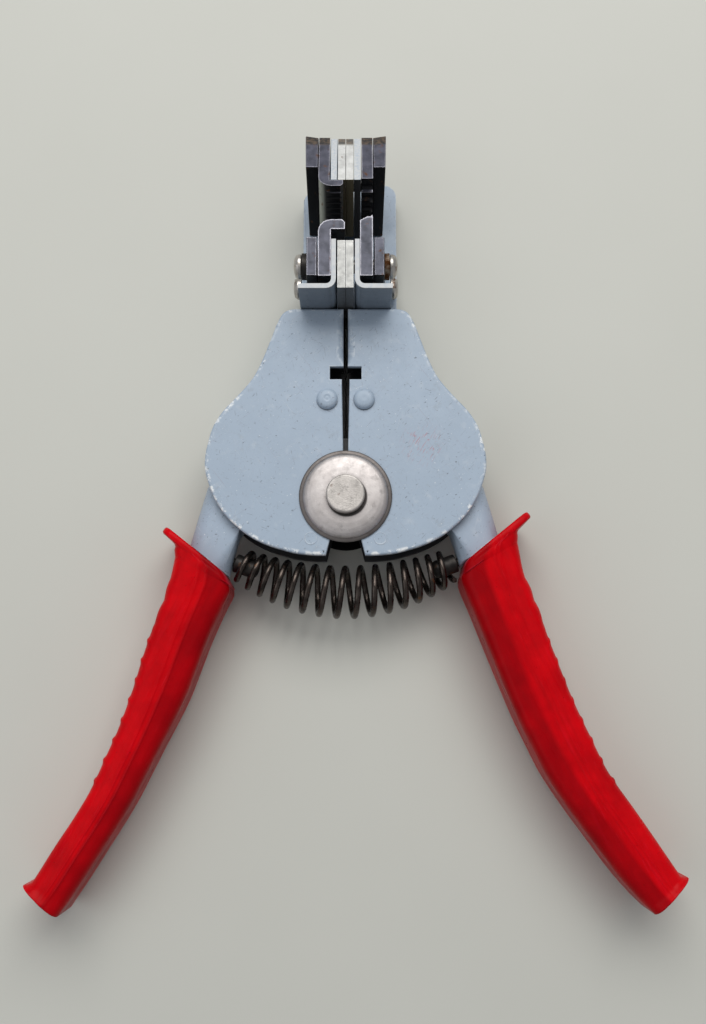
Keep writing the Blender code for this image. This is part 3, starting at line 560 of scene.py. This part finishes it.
def curve_through(points, count):
    """Evenly counted points on a smooth curve through the given ones."""
    points = [Vector(p) for p in points]
    ends = [points[0] * 2 - points[1]] + points + [points[-1] * 2 - points[-2]]
    result = []
    for i in range(count):
        where = i / (count - 1) * (len(points) - 1)
        k = min(int(where), len(points) - 2)
        t = where - k
        p0, p1, p2, p3 = ends[k:k + 4]
        square = (2 * p0 - 5 * p1 + 4 * p2 - p3) * t * t
        cube = (3 * p1 - p0 - 3 * p2 + p3) * t ** 3
        result.append(0.5 * (2 * p1 + (p2 - p0) * t + square + cube))
    return result


def tube(name, path, radius, look, sides=14):
    """A round wire along a path in millimetres."""
    path = [Vector(p) for p in path]
    bm = bmesh.new()
    rings = []
    across = None
    for i, point in enumerate(path):
        ahead = (path[min(i + 1, len(path) - 1)] - path[max(i - 1, 0)]).normalized()
        across = ahead.orthogonal() if across is None else across
        across = (across - ahead * across.dot(ahead)).normalized()
        up = ahead.cross(across)
        reach = radius * (0.7 if i in (0, len(path) - 1) else 1)
        turns = [2 * math.pi * k / sides for k in range(sides)]
        rings.append([point + reach * (math.cos(t) * across + math.sin(t) * up) for t in turns])
    loft(bm, rings)
    return place(name, pieces_mesh(name, bm, 60), look, None)


BROAD_ROUNDING = 4.0


def refined(node, look, width, segments=3, limit=28, change=None, broad=None):
    """A CAD node's own shape with its facets merged and its edges rounded.

    Change moves its points, and broad picks the edges that get a much larger rounding first."""
    bm = bmesh.new()
    bm.from_mesh(frame["nodes"][node].data)
    bmesh.ops.remove_doubles(bm, verts=bm.verts, dist=2e-6)
    bmesh.ops.dissolve_limit(bm, angle_limit=math.radians(0.8), verts=bm.verts, edges=bm.edges)
    if change:
        for vert in bm.verts:
            vert.co = Vector(change(*(vert.co / MM))) * MM
    if broad:
        chosen = [e for e in bm.edges if broad(*(v.co / MM for v in e.verts))]
        bmesh.ops.bevel(
            bm, geom=chosen, offset=BROAD_ROUNDING * MM, segments=9, profile=0.5, affect="EDGES",
            clamp_overlap=False,
        )
    obj = place(f"{node}_skin", pieces_mesh(node, bm, 30), look, BODY_OF[node], node)
    bevel = obj.modifiers.new("rounding", "BEVEL")
    bevel.width = width * MM
    bevel.segments = segments
    bevel.limit_method = "ANGLE"
    bevel.angle_limit = math.radians(limit)
    bevel.harden_normals = True
    bevel.miter_outer = "MITER_ARC"


# Body plates

OUTER = (
    (11.6, 43.9), (13.2, 43.6), (14.6, 42.6), (15.9, 40.1), (16.7, 37.9), (17.7, 35.2), (18.7, 32.6),
    (19.9, 29.8), (21.2, 27.4), (22.9, 25.2), (25.2, 22.6), (27.5, 20.1), (29.0, 18.0), (30.1, 15.9),
    (31.0, 12.9), (31.65, 9.5), (31.7, 6.5), (31.1, 3.9), (30.1, 1.1), (28.8, -1.5), (26.8, -4.4),
    (24.2, -6.9), (21.9, -8.7), (19.2, -10.2), (16.5, -11.3), (13.8, -12.1), (11.6, -12.7),
    (9.2, -13.05), (6.5, -13.25), (4.4, -13.25),
)
NOTCH = ((0.87, 27.1), (3.6, 27.1), (3.6, 30.1), (0.4, 30.1))
OUTER_POINTS = 170
PLATE_TOP = 43.9
HUB_RADIUS = 3.3
BEND_RADIUS = 1.7
SLIT_EDGE = {True: 0.4, False: 0.08}


def plate_edge(notched):
    """The outline of a plate half with the rounding radius wanted at each point.

    It runs down the outer side, up to the rivet and up the slit. Only a front plate is notched."""
    run = [(p.x, p.y, 0.5) for p in curve_through(OUTER, OUTER_POINTS)]
    for i in range(1, 12):
        t = i / 12
        run.append((4.4 - 2.7 * t, -13.25 + 10.3 * t, 0.35))
    for i in range(17):
        angle = math.radians(-60 + 140 * i / 16)
        run.append((HUB_RADIUS * math.cos(angle), HUB_RADIUS * math.sin(angle), 0.2))
    edge = SLIT_EDGE[notched]
    if notched:
        for y in (3.6 + 0.5 * i for i in range(46)):
            run.append((0.55 if y < 11 else 0.55 + 0.32 * (y - 11) / 16.1, y, 0.35))
        run += [(*p, 0.18) for p in NOTCH]
        for i in range(1, 22):
            y = NOTCH[-1][1] + 0.6 * i
            run.append((edge, y, min(0.2 + 0.35 * i, BEND_RADIUS, PLATE_TOP - 0.5 - y)))
    else:
        run += [(edge, 3.6 + 0.8 * i, 0.9) for i in range(50)]
    run.append((edge, PLATE_TOP, 0.5))
    run += [(0.4 + 11.2 * i / 8, PLATE_TOP, 0.6) for i in range(1, 8)]
    return run


def plate_rings(run, side, back, front, steps=6):
    """Rings from the back face round the front edge, each point with its own radius."""
    count = len(run)
    flat = [Vector(p[:2]) for p in run]
    ways = []
    for i in range(count):
        a = (flat[i] - flat[i - 1]).normalized()
        b = (flat[(i + 1) % count] - flat[i]).normalized()
        na, nb = Vector((a.y, -a.x)), Vector((b.y, -b.x))
        way = (na + nb).normalized()
        ways.append(way / max(way.dot(na), 0.5))
    sign = 1 if front > back else -1
    rings = [[(side * (p.x + 0.15 * w.x), p.y + 0.15 * w.y, back) for p, w in zip(flat, ways)]]
    rings.append([(side * p.x, p.y, back + sign * 0.15) for p in flat])
    for k in range(steps + 1):
        angle = math.pi / 2 * k / steps
        ring = []
        for p, w, (_, _, r) in zip(flat, ways, run):
            inset = r * (1 - math.cos(angle))
            q = p + w * inset
            ring.append((side * q.x, q.y, front - sign * r * (1 - math.sin(angle))))
        rings.append(ring)
    last = []
    for i, (p, w, (_, _, r)) in enumerate(zip(flat, ways, run)):
        rim = p + w * (r + (0.5 if i < OUTER_POINTS else 0.03))
        last.append((side * rim.x, rim.y, front))
    return rings + [last]


def strip_rings(line, thick, low, high, side):
    """A band of sheet standing on a line, with thickness to the line's right."""
    line = [Vector(p) for p in line]
    other = []
    for i, p in enumerate(line):
        way = (line[min(i + 1, len(line) - 1)] - line[max(i - 1, 0)]).normalized()
        other.append(p + Vector((way.y, -way.x)) * thick)
    outline = line + other[::-1]
    return [[(side * p.x, p.y, z) for p in outline] for z in (low, high)]


def plate_strips(which):
    """The turned-in sheet of a plate: a line, a thickness and the Z range for each strip."""
    # Strips near the middle lie in the painted shade of the inside of the plates, near black.
    flange = curve_through(OUTER, OUTER_POINTS)[4:68]
    if which == "rear":
        return (flange, 1.4, 4.7, 9.88), ([(0.04, 10.6), (0.04, 17.0)], 0.9, 3.3, 4.9)
    return (
        (flange, 1.4, 10.12, 15.3),
        ([(0.62 + 0.3 * i / 10, 14.0 + 1.29 * i) for i in range(11)], 1.1, 10.9, 15.6),
        ([(0.04, 42.6), (0.04, 47.5)], 1.0, 5.6, 14.2),
        ([(0.45, 30.4 + 1.3 * i) for i in range(11)], 1.1, 10.9, 15.6),
    )


for word, side in SIDES:
    for which, back, face in (("front", 15.0, 17.0), ("rear", 5.0, 3.0)):
        bm = bmesh.new()
        rings = plate_rings(plate_edge(which == "front"), side, back, face)
        shares = [0.0] + [0.6] * 3 + [1.0] * (len(rings) - 5) + [0.0]
        chipped = [1 if i < OUTER_POINTS else 0.3 for i in range(len(rings[0]))]
        loft(bm, rings, [[w * c for c in chipped] for w in shares])
        for line, thick, low, high in plate_strips(which):
            loft(bm, strip_rings(line, thick, low, high, side))
        look = PAINT_SCUFFED if (which, side) == ("front", 1) else PAINT
        name = f"{word}_{which}_plate"
        obj = place(f"{name}_skin", pieces_mesh(name, bm, 40), look, f"{word}_body", name)
        obj.modifiers.new("normals", "WEIGHTED_NORMAL").keep_sharp = True

# Pivot

turned("front_cap_skin", (
    (3.3, 17.1), (10.2, 17.1), (10.43, 17.2), (10.43, 17.35), (10.2, 17.5), (9.7, 17.62), (9.55, 17.7),
    (9.42, 17.95), (9.15, 18.25), (8.6, 18.55), (7.7, 18.8), (6.4, 19.0), (5.0, 19.1), (4.5, 19.1),
    (3.3, 19.0),
), CAP, "pivot", ["front_cap"], segments=160, radius=0.22)
turned("rear_cap_skin", (
    (3.3, 1.15), (5.6, 1.15), (7.2, 1.42), (8.9, 1.85), (10.2, 2.25), (10.43, 2.5), (10.43, 2.72),
    (10.2, 2.85), (3.3, 2.85),
), REAR_CAP, "pivot", ["rear_cap"], segments=160, radius=0.3)
turned("pivot_rivet_skin", (
    (0, 0.0), (4.5, 0.0), (5.0, 0.35), (5.0, 1.0), (3.0, 1.0), (3.0, 19.05), (4.2, 19.05), (4.3, 19.2),
    (4.3, 20.72), (4.2, 20.92), (3.95, 21.02), (2.0, 21.0), (0, 20.96),
), HEAD, "pivot", ["pivot_rivet"], segments=128, radius=0.12)
turned("hub_bush_skin", (
    (3.2, 8.45), (4.6, 8.45), (4.6, 11.45), (3.2, 11.45), (3.2, 8.45),
), STEEL, "pivot", ["hub_bush"], segments=64, radius=0.2)

# Body rivets and stop pins


def measured(box):
    """A round CAD node's radius, its centre at Z 0, and its lowest and highest points, in millimetres."""
    low, high = (v / MM for v in box)
    return (high.x - low.x) / 2, ((low.x + high.x) / 2, (low.y + high.y) / 2, 0), low.z, high.z


for word, side in SIDES:
    reach, centre, low, high = measured(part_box(f"{word}_body_rivet"))
    dimple = high - 0.12 if side < 0 else high
    turned(f"{word}_body_rivet_skin", (
        (0, low), (reach * 0.6, low + 0.12), (reach * 0.92, low + 0.6), (reach, 2.98), (1.5, 2.98),
        (1.5, 16.95), (reach, 16.95), (reach, 17.25), (reach * 0.93, high - 0.55),
        (reach * 0.72, high - 0.16), (reach * 0.35, high), (reach * 0.2, dimple), (0, high - 0.02),
    ), PAINT_DIRTY, f"{word}_body", [f"{word}_body_rivet"], centre, radius=0.4)
    reach, centre, low, high = measured(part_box(f"{word}_stop_pin"))
    turned(f"{word}_stop_pin_skin", (
        (0, low), (reach - 0.2, low), (reach, low + 0.2), (reach, 17.0), (reach - 0.05, 17.09),
        (reach - 0.25, 17.09), (reach - 0.32, 17.03), (0, 17.05),
    ), PAINT_DIRTY, f"{word}_body", [f"{word}_stop_pin"], centre, radius=0.04)

# Levers

TANG_FACES = (5.5, 14.5)
TANG_START = 23.5


def tang_edge(a, b):
    """A long edge of the tang, on its front or back face."""
    level = abs(a.z - b.z) < 0.01 and min(abs(a.z - z) for z in TANG_FACES) < 0.02
    long_way = abs(a.y - b.y) > 1.2 * abs(a.x - b.x)
    return level and min(abs(a.x), abs(b.x)) > TANG_START and long_way


for word, side in SIDES:
    refined(f"{word}_lever", PAINT_LEVER, 0.3, 3, 35, broad=tang_edge)

# Head

INNER_GAP = 0.03
FLARE_START = 8


def closer(x, y, z):
    """Brings the flat inner face of a plate at the middle of the head up to a small gap."""
    return math.copysign(INNER_GAP if abs(x) < 0.2 else abs(x), x), y, z


def stretched(node, start, low, high):
    """Moves what lies beyond a distance from the middle so that it reaches from low to high."""
    top = max(abs(v.co.x) for v in frame["nodes"][node].data.vertices) / MM

    def change(x, y, z):
        if abs(x) < start:
            return x, y, z
        return math.copysign(low + (abs(x) - start) / (top - start) * (high - low), x), y, z
    return change


def flared(x, y, z):
    """Widens an outer plate of the upper jaws outwards, more so at its top."""
    if abs(x) < FLARE_START:
        return x, y, z
    return math.copysign(abs(x) + 0.3 + 0.03 * (y - 68), x), y + (0.45 if y > 78 else 0), z


for word, side in SIDES:
    refined(f"{word}_jaw_bracket", PAINT_BRACKET, 0.25)
    refined(f"{word}_upper_arm", PAINT_ARM, 0.3, change=closer)
    refined(f"{word}_lower_inner_plate", LOWER_BRIGHT, 0.14, change=closer)
    refined(f"{word}_upper_inner_plate", BRIGHT, 0.14, change=closer)
    refined(f"{word}_lower_side_plate", OXIDE, 0.22)
    refined(f"{word}_upper_side_plate", UPPER_BLADE, 0.25, change=flared)
    screw, washer = f"{word}_jaw_screw", f"{word}_screw_washer"
    refined(screw, STEEL, 0.1, change=stretched(screw, 9.2, 9.95, 11.75))
    refined(washer, COLLAR if side < 0 else RUSTY, 0.1, change=stretched(washer, 8.72, 8.9, 9.9))
    refined(f"{word}_hinge_pin", STEEL, 0.15)
    refined(f"{word}_upper_rivet", BRIGHT, 0.12)
refined("lower_grip_jaw", OXIDE, 0.16)
refined("upper_grip_jaw", UPPER_HOOK, 0.16)
refined("lower_blade", OXIDE, 0.16)
refined("upper_blade", UPPER_BLADE, 0.16)

# Springs

SPRING_END = (23.7, -14.9)
SPRING_TURNS = 15


def spring_centre(u):
    """A point of the arc between the spring posts, from left at 0 to right at 1."""
    x = SPRING_END[0] * (2 * u - 1)
    return Vector((x, SPRING_END[1] - 6.0 * (1 - (x / SPRING_END[0]) ** 2), 10))


def main_spring_point(t):
    """A point of the barrel-shaped coil."""
    u = t - 0.03 * math.sin(2 * math.pi * t)
    along = spring_centre(min(u + 0.01, 1)) - spring_centre(max(u - 0.01, 0))
    across = Vector((0.7 * along.y, -along.x, 0)).normalized()
    radius = 3.3 + 2.15 * math.sin(math.pi * u) ** 0.8
    angle = 2 * math.pi * SPRING_TURNS * t
    return spring_centre(u) + radius * (math.cos(angle) * across + math.sin(angle) * Vector((0, 0, 1)))


steps = SPRING_TURNS * 20
for word, side in SIDES:
    path = [main_spring_point(0.5 + side * 0.5 * i / steps) for i in range(steps + 1)]
    spring = tube(f"{word}_spring_half", path, 0.7, WIRE, 14)
    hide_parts("main_spring")
    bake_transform(spring)

# The closing spring: two turns round the hub, with a leg up each side.

coil = []
for i in range(133):
    angle = math.radians(128) - 2 * math.pi * 2.21 * i / 132
    coil.append((6.0 * math.cos(angle), 6.0 * math.sin(angle), 8.95 + 2.0 * i / 132))
coil = [(-6.35, 25.5, 8.95), (-6.4, 20, 8.95), (-6.45, 14.0, 8.95)] + coil
coil += [(6.45, 14.0, 10.95), (6.4, 20, 10.95), (6.35, 25.5, 10.95)]
for word, run in (("left", coil[:70]), ("right", coil[69:])):
    side = -1 if word == "left" else 1
    spring = tube(f"{word}_closing_half", run, 0.42, WIRE, 12)
    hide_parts("closing_spring")
    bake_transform(spring)

# A torsion spring on each jaw hinge.

for word, side in SIDES:
    coil = [(side * 5.3, 45.9, 6.0), (side * 5.32, 49.0, 5.95)]
    for i in range(97):
        angle = math.pi + 4 * math.pi * i / 96
        coil.append((side * (5.35 + 1.5 * i / 96), 52 - 2.0 * math.sin(angle), 8 + 2.0 * math.cos(angle)))
    coil += [(side * 6.88, 55.0, 5.6), (side * 6.9, 59.0, 5.1)]
    spring = tube(f"{word}_jaw_spring_wire", coil, 0.32, WIRE, 10)
    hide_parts(f"{word}_jaw_spring")
    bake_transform(spring)

for word, side in SIDES:
    foot, way = Vector((side * 25.6, -14.0, 10)), Vector((side * -0.94, -0.34, 0)).normalized()
    turned(f"{word}_spring_post_skin", (
        (0, -1.1), (0.95, -1.1), (0.95, 0.4), (2.0, 0.5), (2.1, 0.7), (2.1, 5.1), (1.75, 5.8),
        (1.0, 6.15), (0, 6.2),
    ), COLLAR, f"{word}_handle", [f"{word}_spring_post"], foot, way, 48)

# Grips

GRIP_TOP = {-1: ((40.9, -5.9), (26.5, -17.6)), 1: ((41.4, -2.4), (26.3, -15.1))}
GRIP_OUTER = {
    -1: ((38.5, -10.6), (39.4, -15.5), (40.4, -20.0), (42.0, -24.8), (43.8, -29.4), (45.7, -35.3),
         (47.7, -42.4), (50.6, -51.0), (53.2, -57.2), (56.3, -64.4), (59.6, -70.3), (63.5, -76.4),
         (67.0, -82.2), (69.0, -85.4)),
    1: ((38.9, -7.5), (39.7, -12.0), (40.6, -16.7), (42.4, -21.5), (44.0, -25.7), (45.7, -30.8),
        (47.5, -35.7), (50.9, -44.8), (55.0, -53.9), (58.3, -60.8), (63.5, -68.4), (67.0, -73.6),
        (72.0, -81.2), (73.7, -83.9)),
}
GRIP_INNER = {
    -1: ((25.6, -19.4), (25.3, -21.8), (26.8, -25.0), (29.7, -31.7), (32.0, -38.0), (34.4, -44.5),
         (37.0, -50.0), (39.7, -55.3), (42.5, -61.0), (45.3, -66.6), (48.4, -71.9), (51.6, -77.0),
         (56.0, -84.0), (59.6, -89.3)),
    1: ((26.0, -16.6), (25.5, -19.7), (28.0, -26.2), (30.7, -33.2), (33.7, -40.8), (36.7, -48.2),
        (39.6, -54.4), (42.6, -60.5), (45.6, -65.3), (48.6, -69.6), (53.0, -75.6), (57.4, -81.5),
        (61.5, -86.2), (64.2, -88.8)),
}


RIB_PLACES = {-1: (-0.22, 0.06), 1: (0.13, 0.30)}
FRONT_STEPS = 44
MIDDLE_Z = 10


def corner_arc(quarter, u, v, radius):
    """A quarter circle about a point, starting at a quarter turn."""
    angles = [math.pi / 2 * (quarter + k / 8) for k in range(9)]
    return [(u + radius * math.cos(a), v + radius * math.sin(a)) for a in angles]


def grip_ring(outer, inner, depth, side, corner=3.0, ribs=1.0, bead=0.0, dome=0.25):
    """A boxy rounded section standing on the line from inner to outer, with two low ribs on the front."""
    middle, along = (outer + inner) / 2, (outer - inner)
    half = along.length / 2
    along = along.normalized()
    corner = min(corner, half * 0.8, depth * 0.9)
    wide, tall = half - corner, depth - corner
    flat = corner_arc(0, wide, tall, corner)
    for k in range(1, FRONT_STEPS):
        t = 1 - 2 * k / FRONT_STEPS
        u = t * wide
        lift = dome * (1 - t * t)
        for where in RIB_PLACES[side]:
            lift += ribs * 0.16 * math.exp(-((u / half - where) / 0.04) ** 2)
        flat.append((u, depth + lift))
    flat += corner_arc(1, -wide, tall, corner)
    flat += [(-half, tall * (1 - 2 * k / 6)) for k in range(1, 6)]
    flat += corner_arc(2, -wide, -tall, corner)
    for k in range(1, 16):
        t = -1 + 2 * k / 16
        flat.append((t * wide, -depth - dome * (1 - t * t)))
    flat += corner_arc(3, wide, -tall, corner)
    flat += [(half, tall * (-1 + 2 * k / 6)) for k in range(1, 6)]
    ring = []
    for u, v in flat:
        share = max((u - half + corner) / corner, 0)
        u += bead * share * (2 - share)
        ring.append((side * (middle.x + u * along.x), middle.y + u * along.y, MIDDLE_Z + v))
    return ring


def scallop(y):
    """How far the finger beads stand out of the outer edge at a height."""
    if not -64 < y < -17:
        return 0.0
    if y > -30:
        fade = min((-17 - y) / 2, 1) * min((y + 30) / 1.5, 1)
        return fade * 0.32 * (0.5 + 0.5 * math.cos(2 * math.pi * (y + 20.5) / 5.2)) ** 0.6
    return 0.36 * (0.5 + 0.5 * math.cos(2 * math.pi * (y + 32) / 4.3)) ** 6


def narrowed(point, side, way):
    """Moves a point of the outline in towards the middle of the sleeve, where its walls stand upright.

    Way is -1 on the outer side and 1 on the inner one."""
    between = Vector((1.67 * side, -45.1))
    return between + (point - between) * (1 + 0.0203 * way)


# How far down from the edge, how far in from the tip and out from the root, and how deep.
MOUTH = (
    (0.0, 0.55, 0.8, 7.9), (0.12, 0.15, 0.3, 8.3), (0.4, 0.0, 0.05, 8.5), (1.0, 0.0, 0.0, 8.55),
    (1.45, 0.1, 0.0, 8.55), (1.7, 0.45, 0.0, 8.5), (1.78, 1.6, 0.0, 8.5), (1.84, 2.9, 0.0, 8.5),
    (1.95, 4.0, 0.0, 8.5), (2.25, 4.45, 0.0, 8.5), (3.0, 4.75, 0.0, 8.5),
)
# How far past the end, how far in from the sides, how much shallower, and how far the lip stands out.
FOOT = (
    (0.2, 0, 0, 1.15), (0.4, 0, 0.05, 1.05), (0.6, 0.15, 0.2, 0.8), (0.8, 0.5, 0.6, 0.5),
    (0.9, 1.2, 1.3, 0.2), (0.95, 2.2, 2.3, 0),
)
STATIONS = 230
FIRST_STATION = 8
LIP_SHARE = 0.045


def mouth_rings(side, start):
    """The flange at the mouth, which runs out to a fin on the outer side."""
    tip, root = (Vector(p) for p in GRIP_TOP[side])
    edge = (tip - root).normalized()
    down = Vector((edge.y, -edge.x))
    inward = (start - root).normalized()
    rings = []
    for drop, pull, lean, depth in MOUTH:
        pull *= 1 + max(pull - 4, 0) * (0.16 if side > 0 else 0.04)
        a = narrowed(tip - edge * pull + down * drop, side, -1)
        b = narrowed(root + edge * lean + inward * drop, side, 1)
        rings.append(grip_ring(a, b, depth, side, 2.6, min(drop / 3, 1)))
    return rings


def foot_rings(outer, inner, side):
    """The rounded end below the last station."""
    out = (inner - outer).normalized()
    end = Vector((-out.y, out.x))
    end = end if end.y < 0 else -end
    rings = []
    for step, pull, shrink, bead in FOOT:
        a = outer + out * pull + end * step * 0.4
        b = inner - out * pull * 0.8 + end * step * 0.75
        rings.append(grip_ring(a, b, 9.0 - shrink, side, 3.0, 0, bead))
    return rings


def grip_piece(word, side):
    """A moulded sleeve: flange, long body with finger beads, and foot."""
    outers, inners = curve_through(GRIP_OUTER[side], STATIONS), curve_through(GRIP_INNER[side], STATIONS)
    rings = mouth_rings(side, inners[0])
    for i in range(FIRST_STATION, STATIONS):
        outer, inner = narrowed(outers[i], side, -1), narrowed(inners[i], side, 1)
        t = i / (STATIONS - 1)
        depth = 8.3 - 0.9 * math.sin(math.pi * t)
        left = 1 - t
        bead = scallop(outer.y)
        if left < LIP_SHARE:
            swell = 1 - left / LIP_SHARE
            bead += 1.1 * swell ** 2
            depth += 0.7 * swell ** 2
        rings.append(grip_ring(outer, inner, depth, side, 3.0, min(1, left / 0.08), bead))
    rings += foot_rings(outer, inner, side)
    deepening = [min(max((2 * k / FRONT_STEPS - 1.2) / 0.3, 0), 1) for k in range(1, FRONT_STEPS)]
    shares = [0.0] * 9 + deepening + [1.0] * 14 + [0.0] * 38
    bm = bmesh.new()
    loft(bm, rings, [shares] * len(rings))
    name = f"{word}_grip"
    place(f"{name}_skin", pieces_mesh(name, bm, 50), grip_look(side), f"{word}_handle", name)


for word, side in SIDES:
    grip_piece(word, side)

# Stage

floor_look = Look("floor", 0.0, 0.6)
tone = floor_look.mix(floor_look.noise(60, 3), (0.525, 0.525, 0.475), (0.56, 0.56, 0.51))
floor_look.finish(tone)
bpy.ops.mesh.primitive_plane_add(size=3.0, location=(0, 0, -0.00005))
floor = bpy.context.object
floor.name = "floor"
floor.data.materials.append(floor_look.material)


def area_light(name, place_at, size, power, colour):
    """A soft rectangular light aimed at the origin."""
    data = bpy.data.lights.new(name, "AREA")
    data.shape = "RECTANGLE"
    data.size, data.size_y = size
    data.energy = power
    data.color = colour
    obj = bpy.data.objects.new(name, data)
    bpy.context.scene.collection.objects.link(obj)
    obj.location = place_at
    obj.rotation_euler = (-Vector(place_at)).to_track_quat("-Z", "Y").to_euler()


area_light("top", (0.05, 0.55, 0.75), (0.9, 0.6), 7.2, (1.0, 0.99, 0.97))
area_light("fill", (-0.7, -0.2, 0.8), (0.8, 0.8), 1.6, (0.95, 0.97, 1.0))
world = bpy.data.worlds.new("studio")
bpy.context.scene.world = world
world.use_nodes = True
world.node_tree.nodes["Background"].inputs["Color"].default_value = (0.92, 0.95, 1.0, 1)
world.node_tree.nodes["Background"].inputs["Strength"].default_value = 0.36

camera_data = bpy.data.cameras.new("camera")
camera_data.sensor_width = 36
camera_data.lens = 36 * 1150 / 1024
camera = bpy.data.objects.new("camera", camera_data)
bpy.context.scene.collection.objects.link(camera)
camera.location = (0.00167, -0.0451, 0.2706)
camera.rotation_euler = (math.radians(9.3), 0, 0)
bpy.context.scene.camera = camera
bpy.context.scene.view_settings.view_transform = "Standard"
